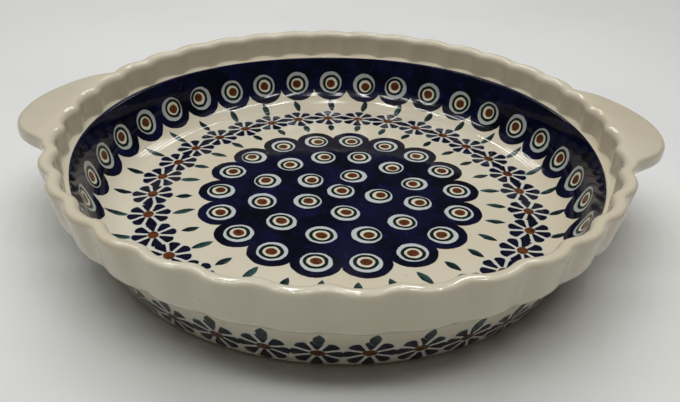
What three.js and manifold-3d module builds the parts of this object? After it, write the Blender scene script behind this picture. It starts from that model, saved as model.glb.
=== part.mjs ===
// Stoneware quiche dish: a flat floor, a flared wall, a fluted collar with a rounded lip,
// two half-moon tab handles and a low foot ring. Millimetres, +Z up. The origin is under the
// middle of the dish, on the plane that it stands on. The handles lie near X, a little behind it.
import * as THREE from "three";
import { mergeVertices } from "three/addons/utils/BufferGeometryUtils.js";
import Module from "manifold-3d";

const wasm = await Module();
wasm.setup();

// Foot and floor
const BASE_RADIUS = 112.4;
const FOOT_HEIGHT = 1.2;
const FOOT_WIDTH = 7;
const FOOT_INSET = 1.8;
const FLOOR_THICKNESS = 7.3;

// Well: the inside, from the floor up to the ledge
const WELL_DEPTH = 27.3;
const COVE_RADIUS = 20;
const WALL_AT_FLOOR = 1.65; // level with the floor, before the cove fills the corner

// Collar: rim radius is to the middle of the lip
const RIM_RADIUS = 129;
const LIP_WIDTH = 6.2;
const COLLAR_RISE = 14; // from the ledge to the top of the lip
const LEDGE_WIDTH = 3.3;
const LEDGE_RISE = 0.6;
const SKIRT_DROP = 7.6; // from the ledge down to the collar's outer foot
const COLLAR_TAPER = 2.8; // the outer face leans in from the lip to the shoulder
const SHOULDER_SETBACK = 1.3;
const SHOULDER_HEIGHT = 2;
const UNDERSIDE_WIDTH = 6.5; // from the collar's outer foot in to the top of the outer wall
const UNDERSIDE_RISE = 5.9;

// Flutes: broad lobes outwards and narrower cusps inwards, shared by both faces of the collar
const FLUTE_COUNT = 36;
const FLUTE_DEPTH = 1.2;
const CUSP_SHARE = 0.15;

// Handles: reach is from the collar's outer face to the tip
const HANDLE_REACH = 20.8;
const HANDLE_ARC_RADIUS = 43.5;
const HANDLE_DROOP = 3.2; // from the crest of the lip to the tip
const HANDLE_SETBACK = 3; // degrees behind X
const HANDLE_THICKNESS = 7.6;
const HANDLE_EDGE = 3.4;
const FULLEST_EDGE = 0.95; // of half the thickness, so that a flat band is left round the edge

// Clearance between pieces that meet on curved faces
const JOINT_GAP = 0.3;

// Facets
const STEPS_PER_FLUTE = 6;
const ROUND_STEPS = 80;
const COVE_STEPS = 5;
const LIP_QUARTER_STEPS = 2;
const HANDLE_STEPS = 48;
const EDGE_STEPS = 3;

// Levels and radii that follow from the sizes above
const floorTop = FOOT_HEIGHT + FLOOR_THICKNESS;
const ledgeHeight = floorTop + WELL_DEPTH;
const rimHeight = ledgeHeight + COLLAR_RISE;
const collarFoot = ledgeHeight - SKIRT_DROP;
const lipRadius = LIP_WIDTH / 2;
const collarOuter = RIM_RADIUS + lipRadius;
const collarInner = RIM_RADIUS - lipRadius;
const ledgeRadius = collarInner - LEDGE_WIDTH;
const skirtRadius = collarOuter - COLLAR_TAPER;
const shoulderRadius = skirtRadius - SHOULDER_SETBACK;

// The outer wall is a straight cone from the base edge to the collar's underside
const wallTopRadius = shoulderRadius - UNDERSIDE_WIDTH;
const wallTopHeight = collarFoot - UNDERSIDE_RISE;
const outerFlare = (wallTopRadius - BASE_RADIUS) / (wallTopHeight - FOOT_HEIGHT);
const outerWallAt = (z) => BASE_RADIUS + outerFlare * (z - FOOT_HEIGHT);

// The inner wall is a straight cone from the floor's corner to the ledge, with a cove in the corner
const cornerRadius = outerWallAt(floorTop) - WALL_AT_FLOOR;
const innerFlare = (ledgeRadius - cornerRadius) / WELL_DEPTH;
const innerWallAt = (z) => cornerRadius + innerFlare * (z - floorTop);
const coveTurn = Math.PI / 2 - Math.atan(innerFlare);
const floorRadius = cornerRadius - COVE_RADIUS * Math.tan(coveTurn / 2);

const fluteWave = (angle) => {
  const phase = FLUTE_COUNT * angle + Math.PI;
  return FLUTE_DEPTH * (Math.cos(phase) - CUSP_SHARE * Math.cos(2 * phase));
};

// Revolves a profile of [radius, height, share of the flutes] about Z
const revolve = (profile, steps) => {
  const points = profile.map(([radius, height]) => new THREE.Vector2(radius, height));
  const geometry = new THREE.LatheGeometry(points, steps);
  geometry.rotateX(Math.PI / 2);
  const position = geometry.attributes.position;
  for (let i = 0; i < position.count; i += 1) {
    const share = profile[i % profile.length][2] ?? 0;
    if (share > 0) {
      const angle = Math.atan2(position.getY(i), position.getX(i));
      const push = share * fluteWave(angle);
      position.setX(i, position.getX(i) + push * Math.cos(angle));
      position.setY(i, position.getY(i) + push * Math.sin(angle));
    }
  }
  return geometry;
};

const ring = (profile, steps) => revolve([...profile, profile[0]], steps);

const toSolid = (geometry) => {
  const bare = geometry.clone();
  bare.deleteAttribute("normal");
  bare.deleteAttribute("uv");
  const merged = mergeVertices(bare);
  const index = merged.index.array;
  const triangles = [];
  for (let i = 0; i < index.length; i += 3) {
    const [a, b, c] = [index[i], index[i + 1], index[i + 2]];
    if (a !== b && b !== c && c !== a) {
      triangles.push(a, b, c);
    }
  }
  const vertProperties = new Float32Array(merged.attributes.position.array);
  const triVerts = new Uint32Array(triangles);
  return new wasm.Manifold(new wasm.Mesh({ numProp: 3, vertProperties, triVerts }));
};

const toGeometry = (solid) => {
  const mesh = solid.getMesh();
  const geometry = new THREE.BufferGeometry();
  geometry.setAttribute("position", new THREE.BufferAttribute(mesh.vertProperties, 3));
  geometry.setIndex(new THREE.BufferAttribute(mesh.triVerts, 1));
  geometry.computeVertexNormals();
  return geometry;
};

const arc = (centre, radius, from, to, steps, share = 0) =>
  Array.from({ length: steps + 1 }, (_, i) => {
    const turn = from + ((to - from) * i) / steps;
    return [centre[0] + radius * Math.cos(turn), centre[1] + radius * Math.sin(turn), share];
  });

// The collar's outside from its foot to the top of the lip, grown outwards for a clearance
const lipCentre = [RIM_RADIUS, rimHeight - lipRadius];
const collarOutside = (grow) => [
  [shoulderRadius + grow, collarFoot, 0],
  [skirtRadius + grow, collarFoot + SHOULDER_HEIGHT, 1],
  ...arc(lipCentre, lipRadius + grow, 0, Math.PI / 2, LIP_QUARTER_STEPS, 1),
];

const collarSteps = FLUTE_COUNT * STEPS_PER_FLUTE;

const baseDisc = () =>
  revolve(
    [
      [0, FOOT_HEIGHT],
      [floorRadius, FOOT_HEIGHT],
      [floorRadius, floorTop],
      [0, floorTop],
    ],
    ROUND_STEPS,
  );

const footRing = () => {
  const outer = BASE_RADIUS - FOOT_INSET;
  const inner = outer - FOOT_WIDTH;
  return ring(
    [
      [inner, 0],
      [outer, 0],
      [outer, FOOT_HEIGHT],
      [inner, FOOT_HEIGHT],
    ],
    ROUND_STEPS,
  );
};

const lowerWall = () => {
  const innerEdge = floorRadius + JOINT_GAP;
  const innerTop = ledgeHeight - JOINT_GAP;
  const coveCentre = [floorRadius, floorTop + COVE_RADIUS];
  const coveTop = -Math.PI / 2 + coveTurn;
  const cove = arc(coveCentre, COVE_RADIUS, coveTop, -Math.PI / 2, COVE_STEPS);
  return ring(
    [
      [innerEdge, FOOT_HEIGHT],
      [BASE_RADIUS, FOOT_HEIGHT],
      [wallTopRadius, wallTopHeight],
      [shoulderRadius - JOINT_GAP, collarFoot - JOINT_GAP],
      [innerWallAt(innerTop), innerTop],
      ...cove.slice(0, COVE_STEPS),
      [innerEdge, floorTop],
    ],
    ROUND_STEPS,
  );
};

const flutedCollar = () => {
  const lipInside = arc(lipCentre, lipRadius, Math.PI / 2, Math.PI, LIP_QUARTER_STEPS, 1);
  return ring(
    [
      [ledgeRadius, ledgeHeight],
      ...collarOutside(0),
      ...lipInside.slice(1),
      [collarInner, ledgeHeight + LEDGE_RISE, 1],
    ],
    collarSteps,
  );
};

// All that lies inside the dish's outer face, grown by the clearance, to fit the handles to it
const dishEnvelope = () => {
  const envelope = [
    [0, 0],
    [BASE_RADIUS + JOINT_GAP, 0],
    ...collarOutside(JOINT_GAP),
    [0, rimHeight + JOINT_GAP],
  ];
  return revolve(envelope, collarSteps);
};

// A handle is a round-edged puck that slopes down from the lip, trimmed level with the rim, less the
// dish that it is luted to
const handle = (side) => {
  const edge = Math.min(HANDLE_EDGE, (FULLEST_EDGE * HANDLE_THICKNESS) / 2);
  const outline = new THREE.Shape();
  outline.absarc(0, 0, HANDLE_ARC_RADIUS, 0, 2 * Math.PI);
  const puck = new THREE.ExtrudeGeometry(outline, {
    depth: HANDLE_THICKNESS - 2 * edge,
    curveSegments: HANDLE_STEPS,
    bevelThickness: edge,
    bevelSize: edge,
    bevelOffset: -edge,
    bevelSegments: EDGE_STEPS,
  });
  const crestToTip = collarOuter + HANDLE_REACH - RIM_RADIUS;
  puck.translate(side * (crestToTip - HANDLE_ARC_RADIUS), 0, edge - HANDLE_THICKNESS);
  puck.rotateY(side * Math.atan2(HANDLE_DROOP, crestToTip));
  puck.translate(side * RIM_RADIUS, 0, rimHeight);
  puck.rotateZ(side * THREE.MathUtils.degToRad(HANDLE_SETBACK));
  const tab = toSolid(puck).trimByPlane([0, 0, -1], -rimHeight);
  return toGeometry(tab.subtract(toSolid(dishEnvelope())));
};

const stampedGlaze = { color: 0xd8cfba, roughness: 0.18, metalness: 0 };
const creamGlaze = { color: 0xd6ccb4, roughness: 0.16, metalness: 0 };
const bareClay = { color: 0xb39a7c, roughness: 0.85, metalness: 0 };

const dish = new THREE.Group();
const addPiece = (name, geometry, finish) => {
  const mesh = new THREE.Mesh(geometry, new THREE.MeshStandardMaterial(finish));
  mesh.name = name;
  dish.add(mesh);
};

addPiece("foot_ring", footRing(), bareClay);
addPiece("base_disc", baseDisc(), stampedGlaze);
addPiece("lower_wall", lowerWall(), stampedGlaze);
addPiece("fluted_collar", flutedCollar(), creamGlaze);
addPiece("handle_left", handle(-1), creamGlaze);
addPiece("handle_right", handle(1), creamGlaze);

export default dish;
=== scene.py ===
# %% [markdown]
# A stamped stoneware quiche dish, 26 cm across its fluted rim, with two half-moon tab handles.
# The clay is modelled as mesh, and the stamped ornament is painted by shader nodes, because on the
# real dish it is flat colour under a clear glaze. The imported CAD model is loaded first: it fixes
# where everything is, and every piece below is made in the same metres and the same axes.

# %% Load the frame
import math

import bmesh
import bpy
import numpy as np
from mathutils import Matrix, Vector


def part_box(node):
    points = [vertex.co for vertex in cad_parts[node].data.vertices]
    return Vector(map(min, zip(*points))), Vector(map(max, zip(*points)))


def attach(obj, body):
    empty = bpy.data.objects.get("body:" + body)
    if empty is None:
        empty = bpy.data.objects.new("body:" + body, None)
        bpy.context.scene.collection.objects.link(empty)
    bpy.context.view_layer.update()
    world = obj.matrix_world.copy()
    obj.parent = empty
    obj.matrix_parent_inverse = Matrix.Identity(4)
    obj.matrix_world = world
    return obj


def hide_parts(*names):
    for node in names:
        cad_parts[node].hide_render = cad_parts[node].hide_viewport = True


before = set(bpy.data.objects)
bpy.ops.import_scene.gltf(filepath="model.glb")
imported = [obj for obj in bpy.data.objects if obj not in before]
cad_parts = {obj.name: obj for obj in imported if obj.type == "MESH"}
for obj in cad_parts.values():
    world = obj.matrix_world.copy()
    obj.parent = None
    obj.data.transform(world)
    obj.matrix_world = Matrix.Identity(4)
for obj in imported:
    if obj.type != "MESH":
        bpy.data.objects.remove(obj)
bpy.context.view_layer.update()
MM = 0.001

# %% [markdown]
# The sizes. The main heights and the foot's reach come from the frame, so that the pieces sit where
# the CAD has them. The rest are the potter's own measures, in millimetres. The outer wall and the
# inner wall are two straight cones, so two points fix each of them. The outer one ends deep under the
# collar, whose overhang hides the joint.

# %% Sizes of the clay
FOOT_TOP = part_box("foot_ring")[1].z / MM
FOOT_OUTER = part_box("foot_ring")[1].x / MM
FLOOR_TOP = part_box("base_disc")[1].z / MM
RIM_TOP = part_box("fluted_collar")[1].z / MM

FOOT_WIDTH = 7.0
BASE_RADIUS = 112.4
RIM_RADIUS = 129.0
LIP_RADIUS = 3.1
COLLAR_RISE = 14.0
LEDGE_WIDTH = 3.3
LEDGE_RISE = 0.6
SKIRT_DROP = 7.6
SKIRT_RADIUS = 129.3
SKIRT_HEIGHT = 2.0
WALL_TOP_RADIUS = 123.4
WALL_TOP_HEIGHT = 26.7
UNDERSIDE_SLOPE = 0.6
WALL_AT_FLOOR = 1.65
COVE_RADIUS = 20.0
HANDLE_REACH = 20.0
HANDLE_ARC_RADIUS = 43.5
HANDLE_THICKNESS = 7.6
HANDLE_DROOP = 3.2
HANDLE_SETBACK = math.radians(3)

ledge_height = RIM_TOP - COLLAR_RISE
ledge_radius = RIM_RADIUS - LIP_RADIUS - LEDGE_WIDTH
shoulder_height = ledge_height - SKIRT_DROP
outer_flare = (WALL_TOP_RADIUS - BASE_RADIUS) / (WALL_TOP_HEIGHT - FOOT_TOP)
corner_radius = BASE_RADIUS + outer_flare * (FLOOR_TOP - FOOT_TOP) - WALL_AT_FLOOR
inner_flare = (ledge_radius - corner_radius) / (ledge_height - FLOOR_TOP)
print(f"floor at {FLOOR_TOP:.1f} mm, ledge at {ledge_height:.1f} mm, rim at {RIM_TOP:.1f} mm")

# %% [markdown]
# The camera stands where the photographer held theirs: close, some way above the rim, looking down
# at 31 degrees with a slight roll. A camera looks along its own -Z, so its matrix is built from the
# three axes right, up and back. The lens is found from the focal length in pixels.

# %% Camera
CAMERA_PLACE = Vector((0.00510, -0.30370, 0.18656))
CAMERA_PAN, CAMERA_TILT, CAMERA_ROLL = (math.radians(a) for a in (-0.754, 31.0, 1.824))
FOCAL_PIXELS = 706.0
IMAGE_WIDTH = 680

ahead = Vector((
    math.sin(CAMERA_PAN) * math.cos(CAMERA_TILT),
    math.cos(CAMERA_PAN) * math.cos(CAMERA_TILT),
    -math.sin(CAMERA_TILT),
))
level = ahead.cross(Vector((0, 0, 1))).normalized()
upright = level.cross(ahead)
right = level * math.cos(CAMERA_ROLL) + upright * math.sin(CAMERA_ROLL)
up = upright * math.cos(CAMERA_ROLL) - level * math.sin(CAMERA_ROLL)

camera_data = bpy.data.cameras.new("camera")
camera_data.sensor_width = 36.0
camera_data.lens = FOCAL_PIXELS * camera_data.sensor_width / IMAGE_WIDTH
camera_data.clip_start = 0.01
camera = bpy.data.objects.new("camera", camera_data)
bpy.context.scene.collection.objects.link(camera)
turn = Matrix((right, up, -ahead)).transposed().to_4x4()
camera.matrix_world = Matrix.Translation(CAMERA_PLACE) @ turn
bpy.context.scene.camera = camera
print(f"lens {camera_data.lens:.1f} mm")

# %% [markdown]
# Long formulas in nodes are hard to read when each sum is its own node. A Wire is one output of a
# node tree, and arithmetic on wires adds Math nodes to that tree, so a formula reads as a formula.
# The same helpers serve Geometry Nodes and shaders.

# %% Helpers for wiring nodes
class Wire:
    """One output in a node tree. Sums and products of wires add Math nodes there."""

    def __init__(self, socket):
        self.socket = socket
        self.tree = socket.id_data

    def __add__(self, other):
        return calc("ADD", self, other)

    def __radd__(self, other):
        return calc("ADD", other, self)

    def __sub__(self, other):
        return calc("SUBTRACT", self, other)

    def __rsub__(self, other):
        return calc("SUBTRACT", other, self)

    def __mul__(self, other):
        return calc("MULTIPLY", self, other)

    def __rmul__(self, other):
        return calc("MULTIPLY", other, self)

    def __truediv__(self, other):
        return calc("DIVIDE", self, other)


def plug(value, socket):
    """Links a wire to a socket, or sets the socket to a plain value."""
    if isinstance(value, Wire):
        socket.id_data.links.new(value.socket, socket)
    else:
        socket.default_value = value


def calc(operation, *values):
    """One Math node, fed by wires and numbers."""
    tree = next(v.tree for v in values if isinstance(v, Wire))
    node = tree.nodes.new("ShaderNodeMath")
    node.operation = operation
    for value, socket in zip(values, node.inputs):
        plug(value, socket)
    return Wire(node.outputs[0])


def add(tree, kind, inputs=None, output=0, **options):
    """One node with its options set and its inputs fed. Returns the wire of an output."""
    node = tree.nodes.new(kind)
    for name, value in options.items():
        setattr(node, name, value)
    for key, value in (inputs or {}).items():
        plug(value, node.inputs[key])
    return Wire(node.outputs[output])


def cos(wire):
    return calc("COSINE", wire)


def length_of(a, b):
    return calc("SQRT", a * a + b * b)


print("wiring helpers ready")

# %% [markdown]
# Every main piece of the dish is turned: a profile carried round the axis, as on a potter's wheel.
# A Screw modifier could do that, but the collar is also fluted, with 36 broad lobes outwards and
# narrower cusps inwards, which fade out at its foot and over the ledge. So one Geometry Nodes tree
# does both: it makes a grid, reads the profile point for each row, and lets each point say how much
# of the fluting it takes. It also carries each point's run, the distance along the clay's surface,
# for the ornament to follow, and lays out a map of three stacked strips for baking.

# %% The turned clay tree
TURNED_INPUTS = (
    ("Profile", "NodeSocketGeometry"),
    ("Steps", "NodeSocketInt"),
    ("Flute count", "NodeSocketInt"),
    ("Flute depth", "NodeSocketFloat"),
    ("Cusp share", "NodeSocketFloat"),
    ("Flute drift", "NodeSocketFloat"),
    ("Sharp angle", "NodeSocketFloat"),
    ("Finish", "NodeSocketMaterial"),
)
MAP_STRIPS = 3
MERGE_DISTANCE = 1e-6


def turned_clay_tree():
    tree = bpy.data.node_groups.new("turned_clay", "GeometryNodeTree")
    for name, kind in TURNED_INPUTS:
        tree.interface.new_socket(name, in_out="INPUT", socket_type=kind)
    tree.interface.new_socket("Piece", in_out="OUTPUT", socket_type="NodeSocketGeometry")
    entry = tree.nodes.new("NodeGroupInput")
    given = {name: Wire(entry.outputs[name]) for name, _ in TURNED_INPUTS}

    points = add(tree, "GeometryNodeAttributeDomainSize", {0: given["Profile"]}, component="MESH")
    grid = add(tree, "GeometryNodeMeshGrid", {2: given["Steps"] + 1, 3: points})
    around = Wire(grid.socket.node.outputs["UV Map"])
    index = add(tree, "GeometryNodeInputIndex")
    column = calc("FLOOR", (index + 0.5) / points)
    row = index - column * points
    angle = column / given["Steps"] * math.tau

    def on_profile(field, kind):
        return add(
            tree,
            "GeometryNodeSampleIndex",
            {"Geometry": given["Profile"], "Value": field, "Index": row},
            data_type=kind,
        )

    def named(name):
        return add(tree, "GeometryNodeInputNamedAttribute", {"Name": name}, data_type="FLOAT")

    place = on_profile(add(tree, "GeometryNodeInputPosition"), "FLOAT_VECTOR")
    split = add(tree, "ShaderNodeSeparateXYZ", {0: place}).socket.node
    share = on_profile(named("share"), "FLOAT")
    phase = given["Flute count"] * (angle - given["Flute drift"] * cos(angle)) + math.pi
    wave = given["Flute depth"] * (cos(phase) - given["Cusp share"] * cos(phase * 2))
    radius = Wire(split.outputs["X"]) + share * wave
    turned = add(
        tree,
        "ShaderNodeCombineXYZ",
        {0: radius * cos(angle), 1: radius * calc("SINE", angle), 2: Wire(split.outputs["Z"])},
    )
    clay = add(tree, "GeometryNodeSetPosition", {"Geometry": grid, "Position": turned})
    clay = add(
        tree,
        "GeometryNodeStoreNamedAttribute",
        {"Geometry": clay, "Name": "run", "Value": on_profile(named("run"), "FLOAT")},
        data_type="FLOAT",
    )

    share_round = Wire(add(tree, "ShaderNodeSeparateXYZ", {0: around}).socket)
    middle = add(tree, "GeometryNodeFieldOnDomain", {0: share_round}, domain="FACE")
    strip = calc("FLOOR", middle * MAP_STRIPS)
    along = on_profile(named("along"), "FLOAT")
    strips = add(
        tree,
        "ShaderNodeCombineXYZ",
        {0: share_round * MAP_STRIPS - strip, 1: (along + strip) / MAP_STRIPS},
    )
    clay = add(
        tree,
        "GeometryNodeStoreNamedAttribute",
        {"Geometry": clay, "Name": "OFBake", "Value": strips},
        data_type="FLOAT2",
        domain="CORNER",
    )

    clay = add(tree, "GeometryNodeMergeByDistance", {"Geometry": clay, "Distance": MERGE_DISTANCE})
    clay = add(tree, "GeometryNodeSetShadeSmooth", {"Geometry": clay}, domain="FACE")
    bend = add(tree, "GeometryNodeInputMeshEdgeAngle")
    clay = add(
        tree,
        "GeometryNodeSetShadeSmooth",
        {
            "Geometry": clay,
            "Selection": calc("GREATER_THAN", bend, given["Sharp angle"]),
            "Shade Smooth": False,
        },
        domain="EDGE",
    )
    clay = add(tree, "GeometryNodeRealizeInstances", {"Geometry": clay})
    clay = add(tree, "GeometryNodeSetMaterial", {"Geometry": clay, "Material": given["Finish"]})
    plug(clay, tree.nodes.new("NodeGroupOutput").inputs[0])
    return tree


turned_clay = turned_clay_tree()
print("turned clay tree:", len(turned_clay.nodes), "nodes")

# %% [markdown]
# A potter's profile has few corners, most of them rounded by a sponge. So a profile is written as
# its corners, each with the radius that rounds it, and two helpers turn that into points: one puts
# an arc in each corner, the other adds points along the straight stretches, for the flutes to fade.

# %% Helpers for profiles
ARC_STEP = math.radians(9)
POINT_SPACING = 1.6


def rounded(corners, closed=True):
    """Corners of (radius, height, rounding) as points, with an arc at each rounded corner."""
    points = []
    for i, (r, z, rounding) in enumerate(corners):
        here = Vector((r, z))
        if rounding == 0:
            points.append(here)
            continue
        before = (Vector(corners[i - 1][:2]) - here).normalized()
        after = (Vector(corners[(i + 1) % len(corners)][:2]) - here).normalized()
        half = before.angle(after) / 2
        centre = here + (before + after).normalized() * (rounding / math.sin(half))
        start = here + before * (rounding / math.tan(half)) - centre
        swing = math.pi - 2 * half
        if before.x * after.y - before.y * after.x > 0:
            swing = -swing
        count = max(2, math.ceil(abs(swing) / ARC_STEP))
        for step in range(count + 1):
            points.append(centre + Matrix.Rotation(swing * step / count, 2) @ start)
    if closed:
        points.append(points[0].copy())
    return points


def spaced(points, spacing=POINT_SPACING):
    """The same line with more points on its long stretches."""
    line = [points[0]]
    for a, b in zip(points, points[1:]):
        count = max(1, math.ceil((b - a).length / spacing))
        line += [a.lerp(b, (i + 1) / count) for i in range(count)]
    return line


def distances(points):
    """How far along the line each point is."""
    steps = [(b - a).length for a, b in zip(points, points[1:])]
    return np.concatenate([[0.0], np.cumsum(steps)])


def smooth_step(value, low, high):
    t = np.clip((value - low) / (high - low), 0, 1)
    return t * t * (3 - 2 * t)


print("profile helpers ready")

# %% [markdown]
# Turning a profile into a piece: the points become a bare mesh that holds the attributes share, run
# and along, the tree is put on it as a modifier, and its inputs are set by their identifiers. Then
# the evaluated result replaces the points as a plain mesh and the modifier goes, so that what rides
# on the frame is ordinary geometry. All pieces take the same steps, so that they meet point to point.

# %% Helper that turns a piece
SHARP_ANGLE = math.radians(40)
FLUTE_COUNT = 36
STEPS_PER_FLUTE = 20
TURN_STEPS = FLUTE_COUNT * STEPS_PER_FLUTE
FLUTE_DEPTH = 1.12
CUSP_SHARE = 0.18
FLUTE_DRIFT = math.radians(1.2)


def float_attribute(mesh, name, values):
    attribute = mesh.attributes.new(name, "FLOAT", "POINT")
    attribute.data.foreach_set("value", np.asarray(values, np.float32))


def turn_piece(name, points, run, finish, share=None):
    """Carries a profile round the axis and keeps the result as a plain mesh with one finish."""
    mesh = bpy.data.meshes.new(name)
    mesh.from_pydata([(p.x * MM, 0, p.y * MM) for p in points], [], [])
    far = distances(points)
    float_attribute(mesh, "share", np.zeros(len(points)) if share is None else share)
    float_attribute(mesh, "run", np.asarray(run) * MM)
    float_attribute(mesh, "along", far / far[-1])
    piece = bpy.data.objects.new(name, mesh)
    bpy.context.scene.collection.objects.link(piece)

    modifier = piece.modifiers.new("turn", "NODES")
    modifier.node_group = turned_clay
    values = {
        "Steps": TURN_STEPS,
        "Flute count": FLUTE_COUNT,
        "Flute depth": FLUTE_DEPTH * MM,
        "Cusp share": CUSP_SHARE,
        "Flute drift": FLUTE_DRIFT,
        "Sharp angle": SHARP_ANGLE,
        "Finish": finish,
    }
    for socket in turned_clay.interface.items_tree:
        if socket.in_out == "INPUT" and socket.name in values:
            modifier[socket.identifier] = values[socket.name]
    depsgraph = bpy.context.evaluated_depsgraph_get()
    result = bpy.data.meshes.new_from_object(
        piece.evaluated_get(depsgraph), preserve_all_data_layers=True, depsgraph=depsgraph
    )
    piece.modifiers.clear()
    piece.data = result
    print(f"{name}: {len(points)} profile points, {len(result.polygons)} faces")
    return piece


# %% [markdown]
# The ornament is stamped and brushed by hand in cobalt, green and rust under the clear glaze, in
# rings about the middle of the dish: peacock eyes on the floor and wall, chains of daisies, and leaf
# strokes between them. It could be an image on a UV map, but nodes stay sharp at any distance. All
# rings share one idea: find which stamp of the ring is nearest, and measure from its middle, so
# that the eye, the daisy and the leaf are each drawn once. A little chance shifts every stamp.

# %% Colours and small paint helpers
def srgb(red, green, blue):
    """A colour from 0 to 255 as it looks on screen, in the linear values that shaders use."""
    def linear(level):
        share = level / 255
        return share / 12.92 if share <= 0.04 else ((share + 0.055) / 1.055) ** 2.4

    return (linear(red), linear(green), linear(blue), 1.0)


CREAM = srgb(219, 212, 191)
CREAM_WARM = srgb(213, 203, 179)
PALE = srgb(197, 202, 202)
# A darker pale for the wall eyes: painted shade, because the steep wall gets less light than the floor.
PALE_SHADED = srgb(176, 180, 177)
COBALT = srgb(13, 16, 48)
COBALT_DEEP = srgb(4, 6, 20)
COBALT_BRIGHT = srgb(26, 29, 92)
NAVY = srgb(17, 19, 46)
NAVY_DEEP = srgb(4, 5, 15)
LEAF = srgb(50, 80, 76)
LEAF_DEEP = srgb(12, 30, 30)
RING_GREEN = srgb(14, 34, 30)
RUST = srgb(106, 58, 28)
RUST_DEEP = srgb(60, 32, 18)
STAMP_EDGE = 0.16
RUST_EDGE = 0.25
HALO_EDGE = 0.5


def paint(factor, below, above):
    """Mixes one colour over another."""
    tree = next(v.tree for v in (factor, below, above) if isinstance(v, Wire))
    return add(tree, "ShaderNodeMix", {0: factor, 6: below, 7: above}, output=2, data_type="RGBA")


def fade(value, low, high, start=0.0, end=1.0):
    """A smooth step from start to end as the value goes from low to high."""
    return add(
        value.tree,
        "ShaderNodeMapRange",
        {0: value, 1: low, 2: high, 3: start, 4: end},
        interpolation_type="SMOOTHSTEP",
    )


def inside(edge, soft=STAMP_EDGE):
    """1 where a distance to an edge is negative, 0 where it is positive."""
    return fade(edge, -soft, soft, 1.0, 0.0)


def xyz(vector):
    node = add(vector.tree, "ShaderNodeSeparateXYZ", {0: vector}).socket.node
    return [Wire(socket) for socket in node.outputs]


NOISE_RANGE = (0.3, 0.7)


def noise(place, scale, detail=2.0, output=0):
    return add(place.tree, "ShaderNodeTexNoise", {"Vector": place, "Scale": scale, "Detail": detail}, output)


def new_group(name, inputs, outputs):
    """A shader node group with named inputs. Returns it with its input wires."""
    group = bpy.data.node_groups.new(name, "ShaderNodeTree")
    for label, kind in inputs:
        group.interface.new_socket(label, in_out="INPUT", socket_type="NodeSocket" + kind)
    for label, kind in outputs:
        group.interface.new_socket(label, in_out="OUTPUT", socket_type="NodeSocket" + kind)
    entry = group.nodes.new("NodeGroupInput")
    return group, [Wire(entry.outputs[label]) for label, _ in inputs]


def close_group(group, *wires):
    leave = group.nodes.new("NodeGroupOutput")
    for wire, socket in zip(wires, leave.inputs):
        plug(wire, socket)


def use(tree, group, inputs):
    """A node that uses a group. Returns the wires of its outputs."""
    node = tree.nodes.new("ShaderNodeGroup")
    node.node_tree = group
    for key, value in inputs.items():
        plug(value, node.inputs[key])
    return [Wire(socket) for socket in node.outputs]


STAMP_INPUTS = [
    ("Out", "Float"), ("Side", "Float"), ("Chance", "Vector"), ("Place", "Vector"), ("Ground", "Color"),
]
STAMP_OUTPUTS = [("Color", "Color")]
print("paint helpers ready")

# %% [markdown]
# The ring of stamps. Angle times count, rounded, names the nearest stamp. What is left over is how
# far round the ring the point is from it, and the run tells how far out. No hand keeps a ring quite
# true, so a ring may lean to one side and its spacing may drift. White noise from the stamp's number
# gives each stamp its own chance, the same on every render.

# %% Ring of stamps
SEED_STRIDE = 61.7


def ring_group():
    group, inputs = new_group(
        "ring_of_stamps",
        [("Run", "Float"), ("Radius", "Float"), ("Angle", "Float"), ("Wobble", "Vector"), ("Count", "Float"),
         ("Phase", "Float"), ("Ring run", "Float"), ("Lean", "Float"), ("Lean at", "Float"),
         ("Drift", "Float"), ("Drift at", "Float"), ("Wander", "Float"), ("Seed", "Float")],
        [("Out", "Float"), ("Side", "Float"), ("Chance", "Vector")],
    )
    run, radius, angle, wobble, count, phase, ring_run, lean, lean_at, drift, drift_at, wander, seed = inputs
    turns = (angle - phase - drift * cos(angle - drift_at)) * count / math.tau
    nearest = calc("ROUND", turns)
    swing = (turns - nearest) * math.tau / count
    number = calc("FLOORED_MODULO", nearest, count) + seed * SEED_STRIDE
    chance = add(group, "ShaderNodeTexWhiteNoise", {"W": number}, output=1, noise_dimensions="1D")
    first, second, _ = xyz(chance)
    wobble_out, wobble_side, _ = xyz(wobble)
    middle = ring_run + lean * cos(angle - lean_at)
    out = run - middle + radius * (cos(swing) - 1) + wander * (first - 0.5) + wobble_out
    side = radius * calc("SINE", swing) + wander * (second - 0.5) + wobble_side
    close_group(group, out, side, chance)
    return group


ring_of_stamps = ring_group()
print("ring of stamps:", len(ring_of_stamps.nodes), "nodes")

# %% [markdown]
# The peacock eye. Each is printed with a round sponge: a cobalt disc whose edge makes the scallops,
# a pale ring, a thin green ring and a rust dot. The green ring and the dot are set by separate
# stamps, so they sit a little off the middle, and the white shows as a crescent on one side.

# %% Peacock eye
EYE_PALE = 6.85
EYE_GREEN_OUT = 5.4
EYE_GREEN_IN = 3.75
EYE_DOT = 2.5
RING_SLIP_OUT, RING_SLIP_SIDE = 1.7, 1.9
DOT_SLIP = 0.9
DOT_STRETCH = 0.94
DOT_GRAIN = 900.0
DOT_FADE = (0.35, 0.7)


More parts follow.
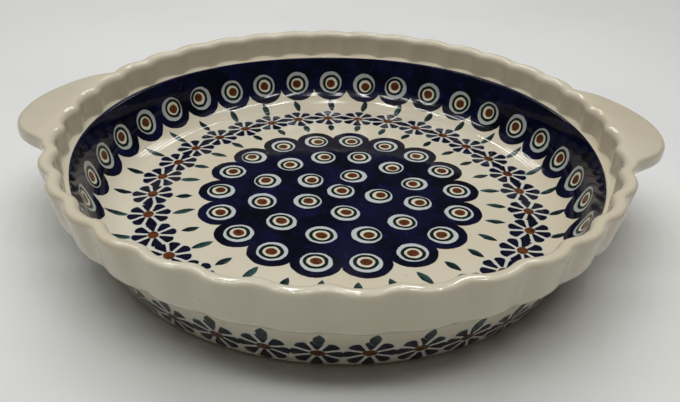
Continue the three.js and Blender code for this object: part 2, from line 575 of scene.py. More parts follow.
def eye_group():
    group, (out, side, chance, place, ground, cobalt, pale, scallop) = new_group(
        "peacock_eye",
        STAMP_INPUTS + [("Cobalt", "Color"), ("Pale", "Color"), ("Scallop", "Float")],
        STAMP_OUTPUTS,
    )
    first, second, third = xyz(chance)
    far = length_of(out, side)
    ring_out = out + (second - 0.5) * RING_SLIP_OUT
    ring_side = side + (third - 0.5) * RING_SLIP_SIDE
    ring_far = length_of(ring_out, ring_side)
    dot_out = ring_out + (third - 0.5) * DOT_SLIP
    dot_side = ring_side * DOT_STRETCH + (first - 0.5) * DOT_SLIP
    grain = noise(place, DOT_GRAIN, 3.0)
    colour = paint(inside(far - scallop), ground, cobalt)
    colour = paint(inside(far - EYE_PALE), colour, pale)
    colour = paint(inside(ring_far - EYE_GREEN_OUT), colour, RING_GREEN)
    colour = paint(inside(ring_far - EYE_GREEN_IN), colour, CREAM)
    rust = paint(fade(grain, *DOT_FADE), RUST, RUST_DEEP)
    colour = paint(inside(length_of(dot_out, dot_side) - EYE_DOT, RUST_EDGE), colour, rust)
    close_group(group, colour)
    return group


peacock_eye = eye_group()
print("peacock eye:", len(peacock_eye.nodes), "nodes")

# %% [markdown]
# The daisy. One sponge stamp prints its eight petals, with thin bare gaps between them, and a rust
# dab covers the middle. Folding the angle into one eighth turn draws all the petals at once: a
# wedge, cut off by a round end, with the corners softened by Smooth Maximum.

# %% Daisy
PETALS = 8
PETAL_TIP = 10.0
PETAL_ROUND = 3.2
PETAL_START = 2.9
PETAL_GAP = 0.57
PETAL_SPREAD = 0.38
PETAL_CORNER, PETAL_FOOT_CORNER = 1.1, 0.5
DAISY_TWIST = 0.22
DAISY_MIDDLE = 2.5
MIDDLE_STRETCH = 0.86
BLOTCH_SCALE = 420.0
PETAL_RIM_SHADE = 0.12
PETAL_FADE = (0.42, 0.78)
MIDDLE_FADE = (0.35, 0.75)
HALO_WIDTH, HALO_STRENGTH = 0.6, 0.8


def daisy_group():
    group, (out, side, chance, place, ground) = new_group("daisy", STAMP_INPUTS, STAMP_OUTPUTS)
    first, second, third = xyz(chance)
    far = length_of(out, side)
    turns = (calc("ARCTAN2", side, out) + (third - 0.5) * DAISY_TWIST) * (PETALS / math.tau)
    fold = (turns - calc("ROUND", turns)) * (math.tau / PETALS)
    along = far * cos(fold)
    across = calc("ABSOLUTE", far * calc("SINE", fold))
    flank = across - along * PETAL_SPREAD + PETAL_GAP
    beyond = calc("MAXIMUM", along - (PETAL_TIP - PETAL_ROUND), 0.0)
    tip = length_of(beyond, across) - PETAL_ROUND
    edge = calc("SMOOTH_MAX", flank, tip, PETAL_CORNER)
    edge = calc("SMOOTH_MAX", edge, PETAL_START - along, PETAL_FOOT_CORNER)
    blotch = noise(place, BLOTCH_SCALE, 2.0)
    navy = paint(fade(blotch - edge * PETAL_RIM_SHADE, *PETAL_FADE), NAVY_DEEP, NAVY)
    halo = inside(edge - HALO_WIDTH, HALO_EDGE) * HALO_STRENGTH
    colour = paint(halo, ground, PALE)
    colour = paint(inside(edge), colour, navy)
    dab = length_of(out + (first - 0.5), (side + (second - 0.5)) * MIDDLE_STRETCH)
    rust = paint(fade(blotch, *MIDDLE_FADE), RUST, RUST_DEEP)
    colour = paint(inside(dab - DAISY_MIDDLE, RUST_EDGE), colour, rust)
    close_group(group, colour)
    return group


daisy = daisy_group()
print("daisy:", len(daisy.nodes), "nodes")

# %% [markdown]
# The leaf. A leaf is one stroke of a pointed brush: thin, swelling, thin again, darker where the
# brush was set down. Its half width falls off as 1 - t squared along its length, and a bend moves
# the middle line aside in the same way.

# %% Leaf stroke
LEAF_LEAST, LEAF_SPREAD = 0.42, 0.16
LEAF_TILT = 0.3
LEAF_GRAIN = 500.0
GRAIN_TONE, SIDE_TONE, ALONG_TONE, CHANCE_TONE = 0.6, 0.12, 0.1, 0.3
LEAF_FADE = (0.12, 0.62)
LEAF_HALO_WIDTH, LEAF_HALO_STRENGTH = 0.4, 0.35


def leaf_group():
    group, (out, side, chance, place, ground, size, width, bend) = new_group(
        "leaf_stroke",
        STAMP_INPUTS + [("Length", "Float"), ("Width", "Float"), ("Bend", "Float")],
        STAMP_OUTPUTS,
    )
    _, second, third = xyz(chance)
    t = out / (size * (LEAF_LEAST + LEAF_SPREAD * second))
    belly = 1 - t * t
    middle = side + out * (third - 0.5) * LEAF_TILT + bend * belly
    edge = calc("ABSOLUTE", middle) - width * 0.5 * belly
    tone = noise(place, LEAF_GRAIN, 2.0) * GRAIN_TONE + side * SIDE_TONE - t * ALONG_TONE
    tone = tone + (second - 0.5) * CHANCE_TONE
    green = paint(fade(tone, *LEAF_FADE), LEAF_DEEP, LEAF)
    colour = paint(inside(edge - LEAF_HALO_WIDTH, HALO_EDGE) * LEAF_HALO_STRENGTH, ground, PALE)
    colour = paint(inside(edge), colour, green)
    close_group(group, colour)
    return group


leaf_stroke = leaf_group()
print("stamps:", [g.name for g in bpy.data.node_groups if g.bl_idname == "ShaderNodeTree"])

# %% [markdown]
# The glaze. Over the paint lies a clear gloss glaze. It is never quite even: its tone drifts, it has
# a few iron specks, and it lies in faint waves, which break up reflections. So the colour gets a slow
# drift and specks, the roughness a little noise, and the normal a very shallow bump. What is the
# same all over, such as the index of refraction, is set on the shader itself.

# %% Glaze helpers
STAMPED_INDEX = 1.42
PLAIN_INDEX = 1.52
BODY_DRIFT, BODY_FADE = 14.0, (0.3, 0.75)
SPECK = srgb(140, 108, 76)
SPECK_SCALE = 95.0
SPECK_RARITY = 0.9
SPECK_RADIUS, SPECK_EDGE = 0.04, 0.02
SPECK_STRENGTH = 0.35
GLOSS_SCALE, GLOSS_LOW, GLOSS_HIGH = 60.0, 0.05, 0.11
WAVE_SCALE, WAVE_HEIGHT = 55.0, 0.00005
PEEL_SCALE, PEEL_HEIGHT = 700.0, 0.000006


def body_colour(place):
    """The cream body under the glaze, with slow drift and iron specks."""
    drift = noise(place, BODY_DRIFT, 3.0)
    colour = paint(fade(drift, *BODY_FADE), CREAM, CREAM_WARM)
    cells = add(place.tree, "ShaderNodeTexVoronoi", {"Vector": place, "Scale": SPECK_SCALE}).socket.node
    rare = calc("GREATER_THAN", xyz(Wire(cells.outputs["Color"]))[0], SPECK_RARITY)
    spot = inside(Wire(cells.outputs["Distance"]) - SPECK_RADIUS, SPECK_EDGE) * rare * SPECK_STRENGTH
    return paint(spot, colour, SPECK)


def finish_glaze(material, colour, place, index):
    """Feeds the gloss shader of a glazed material, with the glaze's index of refraction."""
    tree = material.node_tree
    shader = tree.nodes["Principled BSDF"]
    shader.inputs["IOR"].default_value = index
    plug(colour, shader.inputs["Base Color"])
    gloss = fade(noise(place, GLOSS_SCALE, 3.0), *NOISE_RANGE, GLOSS_LOW, GLOSS_HIGH)
    plug(gloss, shader.inputs["Roughness"])
    sway = noise(place, WAVE_SCALE, 1.0)
    waves = add(tree, "ShaderNodeBump", {"Height": sway, "Distance": WAVE_HEIGHT})
    peel = noise(place, PEEL_SCALE, 1.0)
    bump = add(tree, "ShaderNodeBump", {"Height": peel, "Distance": PEEL_HEIGHT, "Normal": waves})
    plug(bump, shader.inputs["Normal"])


def new_material(name):
    material = bpy.data.materials.new(name)
    material.use_nodes = True
    tree = material.node_tree
    place = add(tree, "ShaderNodeTexCoord", output=3)
    return material, tree, place


print("glaze helpers ready")

# %% [markdown]
# Where the paint goes. Every painted material starts from the same wires: the run over the surface,
# the radius and the angle, in millimetres and radians, and a wobble that makes stamped edges uneven.
# A ring is written as its count, its run and how it was spaced by hand, with angles in degrees, and
# the seed of its chances.

# %% Paint coordinates
OUTSIDE_RUN = -50.0
UNDER_RUN = -500.0
MM_PER_METRE = 1000
WOBBLE_SCALE, WOBBLE_SIZE = 330.0, 0.7


def stamp_space(tree, place):
    """Run, radius, angle and wobble for the rings of stamps, in millimetres and radians."""
    x, y, _ = xyz(place)
    x, y = x * MM_PER_METRE, y * MM_PER_METRE
    run = add(tree, "ShaderNodeAttribute", output=2, attribute_name="run") * MM_PER_METRE
    shake = add(
        tree,
        "ShaderNodeVectorMath",
        {0: noise(place, WOBBLE_SCALE, 1.0, output=1), 1: (-0.5, -0.5, -0.5)},
        operation="ADD",
    )
    wobble = add(tree, "ShaderNodeVectorMath", {0: shake, "Scale": WOBBLE_SIZE}, operation="SCALE")
    return {"Run": run, "Radius": length_of(x, y), "Angle": calc("ARCTAN2", y, x), "Wobble": wobble}


def ring(space, spacing):
    """The nearest stamp of a ring: how far out, how far to the side, and its chance."""
    facts = dict(spacing)
    for name in ("Phase", "Lean at", "Drift", "Drift at"):
        facts[name] = math.radians(facts.get(name, 0.0))
    outputs = use(space["Run"].tree, ring_of_stamps, {**space, **facts})
    return dict(zip(("Out", "Side", "Chance"), outputs))


def stamp(group, at, place, ground, sizes=None):
    """Prints a ring of stamps over the colours below it."""
    colour, = use(place.tree, group, {**at, **(sizes or {}), "Place": place, "Ground": ground})
    return colour


COBALT_POOLS, POOL_FADE = 75.0, (0.32, 0.72)
COBALT_FLECKS, FLECK_FADE = 260.0, (0.56, 0.78)
FLECK_STRENGTH = 0.7


def cobalt_paint(place):
    """Cobalt lies thick and thin, so it runs from near black to a clear dark blue."""
    pools = noise(place, COBALT_POOLS, 4.0)
    flecks = noise(place, COBALT_FLECKS, 3.0)
    colour = paint(fade(pools, *POOL_FADE), COBALT_DEEP, COBALT)
    return paint(fade(flecks, *FLECK_FADE) * FLECK_STRENGTH, colour, COBALT_BRIGHT)


OUTER_LEAF = {"Length": 11.4, "Width": 3.7, "Bend": 0.3}
OUTER_LEAVES = {"Count": 32, "Phase": 4.3, "Ring run": 106.4, "Lean": 0.6, "Wander": 0.8, "Seed": 7}
DAISIES = {"Count": 32, "Phase": 5.42, "Ring run": 92.0, "Lean": 1.4, "Lean at": -35.0, "Wander": 1.2,
           "Seed": 9}
print("leaf strokes:", OUTER_LEAVES["Count"], "daisies:", DAISIES["Count"])

# %% [markdown]
# The floor. A solid cobalt medallion carries 36 eyes: one in the middle, then rings of 5, 12 and 18,
# whose outermost discs make the scalloped edge. Round it run 32 leaf strokes, the chain of 32
# daisies, and the first part of the strokes that climb the cove.

# %% Floor paint
FLOOR_EYE = {"Pale": PALE, "Scallop": 11.1}
FLOOR_EYES = (
    {"Count": 1, "Phase": 60.0, "Ring run": 2.7, "Seed": 0},
    {"Count": 5, "Phase": -4.0, "Ring run": 18.9, "Lean": 1.5, "Lean at": 30.0, "Wander": 1.0, "Seed": 1},
    {"Count": 12, "Phase": 17.2, "Ring run": 39.2, "Lean": 1.4, "Lean at": 34.0, "Drift": 4.3,
     "Drift at": -52.0, "Wander": 1.2, "Seed": 2},
    {"Count": 18, "Phase": 4.0, "Ring run": 59.3, "Lean": 0.9, "Lean at": 10.0, "Drift": 2.5,
     "Drift at": 15.0, "Wander": 1.0, "Seed": 3},
)
MEDALLION_RADIUS = 59.4
LEAST_FLOOR_RUN = -1.0
INNER_LEAF = {"Length": 9.8, "Width": 3.7, "Bend": 0.0}
INNER_LEAVES = {"Count": 32, "Phase": 6.2, "Ring run": 77.0, "Lean": 0.9, "Drift": 1.6, "Drift at": -75.0,
                "Wander": 1.2, "Seed": 8}


def floor_material():
    material, tree, place = new_material("stamped_floor")
    space = stamp_space(tree, place)
    cobalt = cobalt_paint(place)
    colour = body_colour(place)

    colour = stamp(leaf_stroke, ring(space, OUTER_LEAVES), place, colour, OUTER_LEAF)
    colour = stamp(leaf_stroke, ring(space, INNER_LEAVES), place, colour, INNER_LEAF)
    colour = stamp(daisy, ring(space, DAISIES), place, colour)

    on_floor = calc("GREATER_THAN", space["Run"], LEAST_FLOOR_RUN)
    medallion = inside(space["Radius"] - MEDALLION_RADIUS) * on_floor
    colour = paint(medallion, colour, cobalt)
    for spacing in FLOOR_EYES:
        colour = stamp(peacock_eye, ring(space, spacing), place, colour, {**FLOOR_EYE, "Cobalt": cobalt})
    finish_glaze(material, colour, place, STAMPED_INDEX)
    return material


stamped_floor = floor_material()
print("stamped_floor:", len(stamped_floor.node_tree.nodes), "nodes")

# %% [markdown]
# The wall. Inside, a cobalt band runs up and just over the ledge's edge, where it thins, with 35 eyes
# in it, whose discs scallop its lower edge and whose pale rings are painted darker than on the floor, as
# painted shade of the steep wall.
# The leaf strokes from the floor end under it. Outside, a chain of 38 daisies goes round the lower
# wall, each with a dab of green on its upper petals. On the outside the run counts downwards from
# -50, so that both faces can share one attribute.

# %% Wall paint
# The wall eyes' pale rings use the darker pale: painted shade, not a different paint.
WALL_EYE = {"Pale": PALE_SHADED, "Scallop": 11.6}
WALL_EYES = {"Count": 35, "Phase": 1.85, "Ring run": 122.2, "Lean": -0.9, "Wander": 0.9, "Seed": 11}
BAND_TOP, BAND_SWING, BAND_AT = 138.9, 1.2, math.radians(120)
BAND_WAVES = 3
BAND_EDGE = 0.15
THIN_START, THIN_END, THIN_STRENGTH = 0.2, 1.1, 0.4
OUTER_DAISIES = {"Count": 38, "Phase": 2.76, "Ring run": OUTSIDE_RUN - 10.0, "Lean": 2.5, "Wander": 0.8,
                 "Seed": 10}
DAB = {"Length": 8.5, "Width": 4.4, "Bend": 0.3}
DAB_RISE, DAB_SIDE = 10.8, 1.2


def wall_material():
    material, tree, place = new_material("stamped_wall")
    space = stamp_space(tree, place)
    cobalt = cobalt_paint(place)
    colour = body_colour(place)

    colour = stamp(leaf_stroke, ring(space, OUTER_LEAVES), place, colour, OUTER_LEAF)
    colour = stamp(daisy, ring(space, DAISIES), place, colour)
    chain = ring(space, OUTER_DAISIES)
    colour = stamp(daisy, chain, place, colour)
    dabs = {**chain, "Out": chain["Out"] + DAB_RISE, "Side": chain["Side"] - DAB_SIDE}
    colour = stamp(leaf_stroke, dabs, place, colour, DAB)

    above = BAND_TOP + BAND_SWING * cos(BAND_WAVES * space["Angle"] - BAND_AT) - space["Run"]
    band = inside(WALL_EYES["Ring run"] - space["Run"]) * fade(above, -BAND_EDGE, BAND_EDGE)
    thin = fade(above, THIN_START, THIN_END, THIN_STRENGTH, 0.0)
    colour = paint(band, colour, paint(thin, cobalt, COBALT_BRIGHT))
    colour = stamp(peacock_eye, ring(space, WALL_EYES), place, colour, {**WALL_EYE, "Cobalt": cobalt})
    finish_glaze(material, colour, place, STAMPED_INDEX)
    return material


stamped_wall = wall_material()
print("stamped_wall:", len(stamped_wall.node_tree.nodes), "nodes")

# %% [markdown]
# The collar and the handles have no ornament: only the cream body, under a slightly glossier coat of the
# glaze. The foot is left bare, because a glazed foot would stick to the kiln shelf: matt, pinkish buff
# and gritty.

# %% Plain glaze and bare clay
def cream_material():
    material, _, place = new_material("cream_glaze")
    finish_glaze(material, body_colour(place), place, PLAIN_INDEX)
    return material


CLAY = srgb(186, 158, 128)
CLAY_DARK = srgb(160, 130, 102)
CLAY_GRIT = srgb(112, 84, 62)
CLAY_TONES, GRIT_SCALE = 40.0, 1400.0
GRIT_FADE, GRIT_STRENGTH = (0.6, 0.75), 0.5
MATT_LOW, MATT_HIGH = 0.75, 0.95
GRIT_HEIGHT = 0.0001


def clay_material():
    material, tree, place = new_material("bare_clay")
    shader = tree.nodes["Principled BSDF"]
    grit = noise(place, GRIT_SCALE, 4.0)
    tone = noise(place, CLAY_TONES, 3.0)
    colour = paint(fade(tone, *NOISE_RANGE), CLAY, CLAY_DARK)
    colour = paint(fade(grit, *GRIT_FADE) * GRIT_STRENGTH, colour, CLAY_GRIT)
    plug(colour, shader.inputs["Base Color"])
    plug(fade(grit, *NOISE_RANGE, MATT_LOW, MATT_HIGH), shader.inputs["Roughness"])
    bump = add(tree, "ShaderNodeBump", {"Height": grit, "Distance": GRIT_HEIGHT})
    plug(bump, shader.inputs["Normal"])
    return material


cream_glaze = cream_material()
bare_clay = clay_material()
print("materials:", [m.name for m in (stamped_floor, stamped_wall, cream_glaze, bare_clay)])

# %% [markdown]
# The floor disc. It ends on the flat, 1 mm short of the cove, so that its glaze and the wall's meet
# on one plane and no line shows between them. Its run is simply its radius. The underside gets a run
# far from any stamp, so that it stays plain. Strips would waste the bake map on a disc, so it gets a
# flat map seen from above.

# %% Base disc
JOINT_INSET = 1.0
DISC_SPACING = 6.0
LEVEL_TOLERANCE = 0.01
floor_radius = corner_radius - COVE_RADIUS * math.tan((math.pi / 2 - math.atan(inner_flare)) / 2)
joint_radius = floor_radius - JOINT_INSET

disc_points = spaced(
    rounded(
        [(0, FOOT_TOP, 0), (joint_radius, FOOT_TOP, 0), (joint_radius, FLOOR_TOP, 0), (0, FLOOR_TOP, 0)],
        closed=False,
    ),
    spacing=DISC_SPACING,
)
disc_run = [p.x if p.y > FLOOR_TOP - LEVEL_TOLERANCE else UNDER_RUN for p in disc_points]
base_disc = turn_piece("base_disc_glazed", disc_points, disc_run, stamped_floor)


TOP_MAP = (0.495, 0.5)
UNDER_MAP = (0.06, 0.93)


def flat_map(mesh, radius):
    """Lays the top over the whole bake map, and the plain underside and edge in one corner of it."""
    layer = mesh.uv_layers["OFBake"].data
    for face in mesh.polygons:
        scale, middle = TOP_MAP if face.normal.z > 0.5 else UNDER_MAP
        for loop in face.loop_indices:
            place = mesh.vertices[mesh.loops[loop].vertex_index].co / radius
            layer[loop].uv = (middle + scale * place.x, middle + scale * place.y)


flat_map(base_disc.data, joint_radius * MM)

# %% [markdown]
# The lower wall, with its cove inside. Its profile goes round once: along the underside, up the outer
# cone, out along the collar's underside, through the joint to the ledge, over the ledge's edge, down
# the inner face, which flares a little more towards its top, and through the cove.
# The run is counted from the base edge on the outside, and on from the floor's radius on the inside.

# %% Lower wall
BASE_EDGE = 1.2
UNDERSIDE_ROUNDING = 6.0
JOINT_REACH = 2.0
LEDGE_EDGE = 0.7
LEDGE_SHARE = 0.62
FLARE_HEIGHT = 29.5
FLARE_SETBACK = 0.35
FLARE_ROUNDING = 60.0

inner_joint = (ledge_radius + LEDGE_SHARE * LEDGE_WIDTH, ledge_height + LEDGE_SHARE * LEDGE_RISE)
outer_joint = (WALL_TOP_RADIUS + JOINT_REACH, WALL_TOP_HEIGHT + UNDERSIDE_SLOPE * JOINT_REACH)
flare_radius = corner_radius + inner_flare * (FLARE_HEIGHT - FLOOR_TOP) - FLARE_SETBACK
wall_points = spaced(
    rounded([
        (joint_radius, FOOT_TOP, 0),
        (BASE_RADIUS, FOOT_TOP, BASE_EDGE),
        (WALL_TOP_RADIUS, WALL_TOP_HEIGHT, UNDERSIDE_ROUNDING),
        (*outer_joint, 0),
        (*inner_joint, 0),
        (ledge_radius, ledge_height, LEDGE_EDGE),
        (flare_radius, FLARE_HEIGHT, FLARE_ROUNDING),
        (corner_radius, FLOOR_TOP, COVE_RADIUS),
        (joint_radius, FLOOR_TOP, 0),
    ])
)


def nearest_point(points, place):
    """The number of the point on a line that lies nearest to a place."""
    return min(range(len(points)), key=lambda i: (points[i] - Vector(place)).length)


wall_far = distances(wall_points)
top = nearest_point(wall_points, outer_joint)
floor_end = nearest_point(wall_points, (joint_radius, FLOOR_TOP))
wall_run = np.where(
    np.arange(len(wall_points)) <= top,
    OUTSIDE_RUN - (wall_far - (BASE_RADIUS - joint_radius)),
    joint_radius + wall_far[floor_end] - wall_far,
)
lower_wall = turn_piece("lower_wall_glazed", wall_points, wall_run, stamped_wall)

# %% [markdown]
# The fluted collar: it overhangs the wall and hides their joint, with a rounded lip on top and a narrow
# ledge inside. The flutes are full on the inner face and the lip, and shallower on the outer face, where
# the glaze has filled them, down to the lower edge. On the ledge they fade out, so that its edge is a
# true circle.

# %% Fluted collar
SKIRT_ROUNDING = 7.0
LIP_OUTER_EDGE = 2.0
LIP_INNER_EDGE = 3.4
LEDGE_CORNER = 1.1
FLUTE_START, FLUTE_SKIRT, FLUTE_LIP = 28.0, 31.0, 45.0
SKIRT_SHARE = 0.6
COLLAR_SPACING = 1.1

skirt_foot = shoulder_height + SKIRT_HEIGHT
skirt_lean = (RIM_RADIUS + LIP_RADIUS - SKIRT_RADIUS) / (RIM_TOP - LIP_OUTER_EDGE - skirt_foot)


def skirt_at(height):
    return SKIRT_RADIUS + skirt_lean * (height - skirt_foot)


below = skirt_at(WALL_TOP_HEIGHT) - WALL_TOP_RADIUS
bend_height = WALL_TOP_HEIGHT + below * UNDERSIDE_SLOPE / (1 - skirt_lean * UNDERSIDE_SLOPE)
collar_inner = RIM_RADIUS - LIP_RADIUS

collar_points = spaced(
    rounded([
        (*inner_joint, 0),
        (*outer_joint, 0),
        (skirt_at(bend_height), bend_height, SKIRT_ROUNDING),
        (skirt_at(RIM_TOP), RIM_TOP, LIP_OUTER_EDGE),
        (collar_inner, RIM_TOP, LIP_INNER_EDGE),
        (collar_inner, ledge_height + LEDGE_RISE, LEDGE_CORNER),
    ]),
    spacing=COLLAR_SPACING,
)
collar_r = np.array([p.x for p in collar_points])
collar_z = np.array([p.y for p in collar_points])
skirt_share = SKIRT_SHARE * smooth_step(collar_z, FLUTE_START, FLUTE_SKIRT)
skirt_share += (1 - SKIRT_SHARE) * smooth_step(collar_z, FLUTE_SKIRT, FLUTE_LIP)
on_inside = (collar_r <= RIM_RADIUS) & (collar_z >= inner_joint[1])
on_outside = (collar_r > outer_joint[0]) & ~on_inside
collar_share = on_outside * skirt_share + on_inside * smooth_step(collar_r, inner_joint[0], collar_inner)
fluted_collar = turn_piece(
    "fluted_collar_glazed",
    collar_points,
    np.full(len(collar_points), UNDER_RUN),
    cream_glaze,
    share=collar_share,
)

# %% [markdown]
# The foot ring, the one bare place. Its edges are worn round from standing on shelves.

# %% Foot ring
FOOT_EDGE = 0.5
foot_inner = FOOT_OUTER - FOOT_WIDTH
foot_points = spaced(
    rounded([
        (foot_inner, 0, FOOT_EDGE),
        (FOOT_OUTER, 0, FOOT_EDGE),
        (FOOT_OUTER, FOOT_TOP, 0),
        (foot_inner, FOOT_TOP, 0),
    ])
)
foot_ring = turn_piece("foot_ring_bare", foot_points, np.full(len(foot_points), UNDER_RUN), bare_clay)

# %% [markdown]
# The handles. Each is a slab of clay cut to a half-moon, luted on flush with the lip and smoothed
# into it with a wet finger, so its top runs into the crest of the lip with no step, its outline
# sweeps into the collar, and a small fillet fills the corner below. It slopes down a little towards
# its tip. A boolean would leave hard edges, so the handle is lofted instead: at each angle a section
# runs from the crest of the lip over the flat top, round the edge, back below and down the fillet.

# %% Section of a handle
HANDLE_SPAN = math.radians(22.5)
HANDLE_TOP_EDGE = 2.3
HANDLE_LOW_EDGE = 3.4
CORNER_BLEND = 5.0
SLOPE_ROUNDING = 3.0
SINK = 0.7
FLUSH_GAP = 0.006
UNDER_FILLET = 3.4
LEAST_FILLET = 0.02
CREST_OFFSET = 1.0
TOP_STEPS, EDGE_STEPS, UNDER_STEPS, FILLET_STEPS = 10, 10, 8, 9
TIP_RADIUS = RIM_RADIUS + LIP_RADIUS + HANDLE_REACH
CREST_RADIUS = RIM_RADIUS + CREST_OFFSET


def flute_wave(angle):
    phase = FLUTE_COUNT * (angle - FLUTE_DRIFT * math.cos(angle)) + math.pi
    return FLUTE_DEPTH * (math.cos(phase) - CUSP_SHARE * math.cos(2 * phase))


def handle_outline(turn, wave):
    """How far out the handle reaches, at a turn from its middle, swept smoothly into the collar."""
    centre = TIP_RADIUS - HANDLE_ARC_RADIUS
    chord = HANDLE_ARC_RADIUS**2 - (centre * math.sin(turn)) ** 2
    tab = centre * math.cos(turn) + math.sqrt(max(chord, 0.0))
    collar = RIM_RADIUS + LIP_RADIUS + wave - SINK
    overlap = max(CORNER_BLEND - abs(tab - collar), 0.0) / CORNER_BLEND
    return max(tab, collar) + overlap * overlap * CORNER_BLEND / 4


def arc_points(centre, radius, start, end, count):
    turns = np.linspace(start, end, count)
    return [(centre[0] + radius * math.cos(t), centre[1] + radius * math.sin(t)) for t in turns]


def level_section(reach, crest, face):
    """A level section as (radius, height) points, from the crest of the lip round to below."""
    high = RIM_TOP - FLUSH_GAP
    under = RIM_TOP - HANDLE_THICKNESS
    start = max(reach - HANDLE_TOP_EDGE, crest)
    tilt = math.acos(min((start - reach + HANDLE_TOP_EDGE) / HANDLE_TOP_EDGE, 1.0))
    lift = high - HANDLE_TOP_EDGE + HANDLE_TOP_EDGE * math.sin(tilt)
    points = [(crest + (start - crest) * i / TOP_STEPS, lift) for i in range(TOP_STEPS)]
    top_centre = (reach - HANDLE_TOP_EDGE, high - HANDLE_TOP_EDGE)
    points += arc_points(top_centre, HANDLE_TOP_EDGE, tilt, 0, EDGE_STEPS)
    flank = reach - HANDLE_LOW_EDGE
    low_centre = (flank, under + HANDLE_LOW_EDGE)
    points += arc_points(low_centre, HANDLE_LOW_EDGE, 0, -math.pi / 2, EDGE_STEPS)
    fillet = min(max(flank - face, LEAST_FILLET), UNDER_FILLET)
    root = min(face + fillet, flank)
    points += [(flank + (root - flank) * i / UNDER_STEPS, under) for i in range(1, UNDER_STEPS)]
    points += arc_points((root, under - fillet), fillet, math.pi / 2, math.pi, FILLET_STEPS)
    points.append((root - fillet - SINK, under - fillet - SINK))
    return points


def eased_slope(radius, turn):
    """How far out a point is for the slope of the handle, which starts gently beyond the lip."""
    beyond = radius * math.cos(turn) - CREST_RADIUS - SLOPE_ROUNDING / 2
    return (beyond + math.hypot(beyond, SLOPE_ROUNDING)) / 2


def handle_section(turn, angle):
    """The section at a turn from the handle's middle, sloped down beyond the lip."""
    wave = flute_wave(angle)
    face = skirt_at(RIM_TOP - HANDLE_THICKNESS - UNDER_FILLET) + SKIRT_SHARE * wave
    crest = CREST_RADIUS + wave
    points = level_section(handle_outline(turn, wave), crest, face)
    slope = HANDLE_DROOP / (TIP_RADIUS - CREST_RADIUS)
    return [(r, z - slope * (eased_slope(r, turn) - eased_slope(crest, turn))) for r, z in points]


print("handle reaches", round(handle_outline(0.0, 0.0), 1), "mm from the middle")

# %% [markdown]
# The sections are laid side by side and joined by quads, with one flat face at each end. Near the ends
# some points fall together, so the mesh is cleaned before its faces are turned outwards. Both handles
# come from the same function, one on each side.

# %% Handles
HANDLE_STEPS = 150
DOUBLE_DISTANCE = 1e-7


def make_handle(name, middle):
    turns = np.linspace(-HANDLE_SPAN, HANDLE_SPAN, HANDLE_STEPS + 1)
    sections = [handle_section(t, middle + t) for t in turns]
    count = len(sections[0])
    places = [
        (r * math.cos(middle + t) * MM, r * math.sin(middle + t) * MM, z * MM)
        for t, section in zip(turns, sections)
        for r, z in section
    ]
    faces = [
        (i * count + j, (i + 1) * count + j, (i + 1) * count + (j + 1) % count, i * count + (j + 1) % count)
        for i in range(HANDLE_STEPS)
        for j in range(count)
    ]
    faces.append(tuple(range(count)))
    faces.append(tuple(HANDLE_STEPS * count + j for j in reversed(range(count))))
    mesh = bpy.data.meshes.new(name)
    mesh.from_pydata(places, [], faces)
    return mesh


def clean_mesh(mesh):
    """Merges doubled points, turns the faces outwards and shades them smooth."""
    shape = bmesh.new()
    shape.from_mesh(mesh)
    bmesh.ops.remove_doubles(shape, verts=shape.verts, dist=DOUBLE_DISTANCE)
    bmesh.ops.dissolve_degenerate(shape, edges=shape.edges, dist=DOUBLE_DISTANCE)
    bmesh.ops.recalc_face_normals(shape, faces=shape.faces)
    for face in shape.faces:
        face.smooth = True
    for edge in shape.edges:
        edge.smooth = edge.is_manifold and edge.calc_face_angle() < SHARP_ANGLE
    shape.to_mesh(mesh)
    shape.free()


handles = {}
for name, middle in (("handle_right", HANDLE_SETBACK), ("handle_left", math.pi - HANDLE_SETBACK)):
    mesh = make_handle(name + "_glazed", middle)
    clean_mesh(mesh)
    mesh.materials.append(cream_glaze)
    piece = bpy.data.objects.new(name + "_glazed", mesh)
    bpy.context.scene.collection.objects.link(piece)
    handles[name] = piece
    print(piece.name, len(mesh.polygons), "faces")

# %% [markdown]
# Each piece now takes the place of its CAD node, which is hidden, and rides on the one body that the
# dish has.

# %% Join the pieces to the frame
for piece, node, slot in (
    (base_disc, "base_disc", "stamped_glaze"),
    (lower_wall, "lower_wall", "stamped_glaze"),
    (fluted_collar, "fluted_collar", "cream_glaze"),
    (handles["handle_left"], "handle_left", "cream_glaze"),
    (handles["handle_right"], "handle_right", "cream_glaze"),
    (foot_ring, "foot_ring", "bare_clay"),
):
    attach(piece, "root")
    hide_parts(node)

# %% [markdown]
# The stage: a plain pale table under three rows of small lamps, one in front, one above and one
# behind, and a weak soft panel. The small lamps put short glints on the glaze: those behind lie where
# the lip's top mirrors them. The panel softens the shadows. The upright faces are lit mostly by what
# the table throws back, so the world is dim and a little warm.

# %% Table
TABLE_LIGHT = srgb(236, 238, 236)
TABLE_DARK = srgb(232, 233, 231)
TABLE_ROUGHNESS = 0.7
TABLE_CLOUDS = 6.0
TABLE_HALF = 3.0


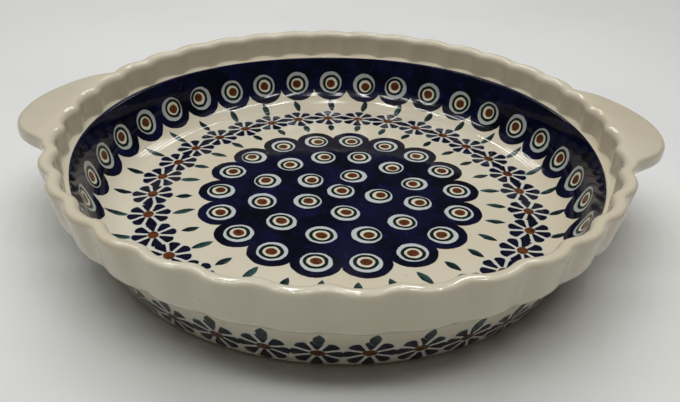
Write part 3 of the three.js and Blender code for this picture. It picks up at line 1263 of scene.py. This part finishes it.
def table_material():
    material, tree, place = new_material("table")
    shader = tree.nodes["Principled BSDF"]
    colour = paint(fade(noise(place, TABLE_CLOUDS, 2.0), *NOISE_RANGE), TABLE_LIGHT, TABLE_DARK)
    plug(colour, shader.inputs["Base Color"])
    shader.inputs["Roughness"].default_value = TABLE_ROUGHNESS
    return material


table_mesh = bpy.data.meshes.new("table")
table_corners = [(x * TABLE_HALF, y * TABLE_HALF, 0) for x, y in ((-1, -1), (1, -1), (1, 1), (-1, 1))]
table_mesh.from_pydata(table_corners, [], [(0, 1, 2, 3)])
table_mesh.materials.append(table_material())
table = bpy.data.objects.new("table", table_mesh)
bpy.context.scene.collection.objects.link(table)
print("table:", 2 * TABLE_HALF, "m across")

# %% Lamps and world
LAMP_HEIGHT = 0.95
LAMP_ROWS = (-0.3, 0.22, 0.9)
LAMPS_IN_ROW = 8
LAMP_PITCH = 0.14
LAMP_SHIFT = -0.05
LAMP_SIZE = (0.035, 0.2)
LAMP_POWER = 0.44
PANEL_SIZE = (1.5, 1.3)
PANEL_POWER = 1.5
SURROUNDINGS = (0.05, 0.045, 0.038, 1.0)


def soft_box(name, place, aim, size, power):
    lamp = bpy.data.lights.new(name, "AREA")
    lamp.shape = "RECTANGLE"
    lamp.size, lamp.size_y = size
    lamp.energy = power
    holder = bpy.data.objects.new(name, lamp)
    holder.location = place
    holder.rotation_euler = (Vector(aim) - Vector(place)).to_track_quat("-Z", "Y").to_euler()
    bpy.context.scene.collection.objects.link(holder)


panel_place = (LAMP_SHIFT, LAMP_SHIFT, LAMP_HEIGHT)
soft_box("panel", panel_place, (LAMP_SHIFT, LAMP_SHIFT, 0.0), PANEL_SIZE, PANEL_POWER)
for row, y in enumerate(LAMP_ROWS):
    for i in range(LAMPS_IN_ROW):
        x = (i - (LAMPS_IN_ROW - 1) / 2) * LAMP_PITCH + LAMP_SHIFT
        soft_box(f"lamp_{row}_{i}", (x, y, LAMP_HEIGHT), (x, y / 2, 0.0), LAMP_SIZE, LAMP_POWER)

world = bpy.data.worlds.new("surroundings")
world.use_nodes = True
world.node_tree.nodes["Background"].inputs["Color"].default_value = SURROUNDINGS
bpy.context.scene.world = world
bpy.context.scene.view_settings.view_transform = "Standard"
